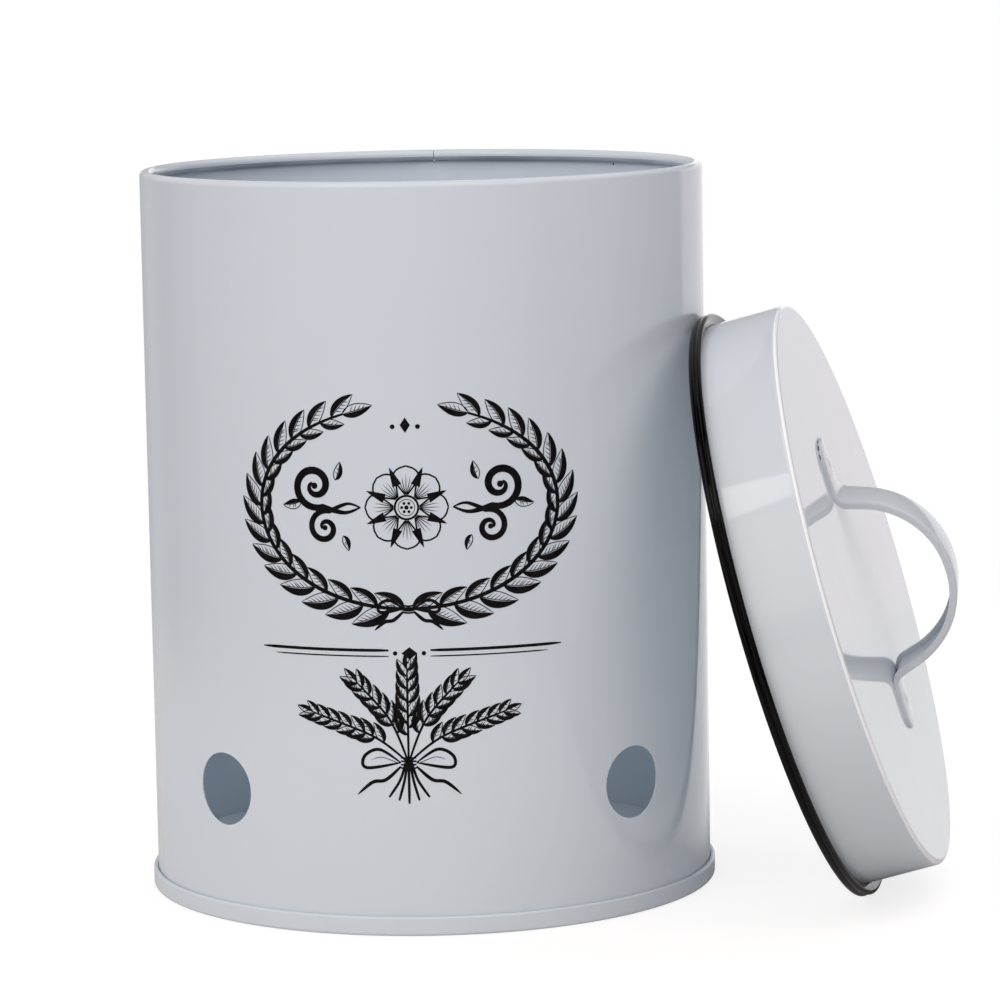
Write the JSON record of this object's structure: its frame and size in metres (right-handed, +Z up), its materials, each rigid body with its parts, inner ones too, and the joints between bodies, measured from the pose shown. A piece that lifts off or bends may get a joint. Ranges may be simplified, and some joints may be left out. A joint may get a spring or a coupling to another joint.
{
  "type": "onion storage canister",
  "caption": "Round sheet-metal storage canister with pierced vents above a seamed foot, and a slip-over lid with black rubber trim and a welded strap handle, leaning on its side.",
  "frame": {"origin": "middle of the canister's foot, on the floor", "axes": "+Z up along the canister's axis, front along -Y, the lid leans against the +X side"},
  "size_m": [0.2845, 0.2379, 0.253],
  "materials": {
    "canister_paint": "gloss pale cool grey coating",
    "base_paint": "gloss pale cool grey coating",
    "lid_paint": "gloss pale grey coating",
    "handle_paint": "gloss pale cool grey coating",
    "trim_rubber": "smooth shiny black"
  },
  "bodies": {
    "canister": {"body_shell": "canister_paint", "base_plate": "base_paint"},
    "lid": {"lid_pan": "lid_paint", "lid_gasket": "trim_rubber", "lid_handle": "handle_paint"}
  },
  "joints": [
    {"name": "lid_pull", "type": "slide", "parent": "canister", "child": "lid", "axis": [0.9445, -0.175, 0.2782], "range_m": [0, 0.15]}
  ]
}
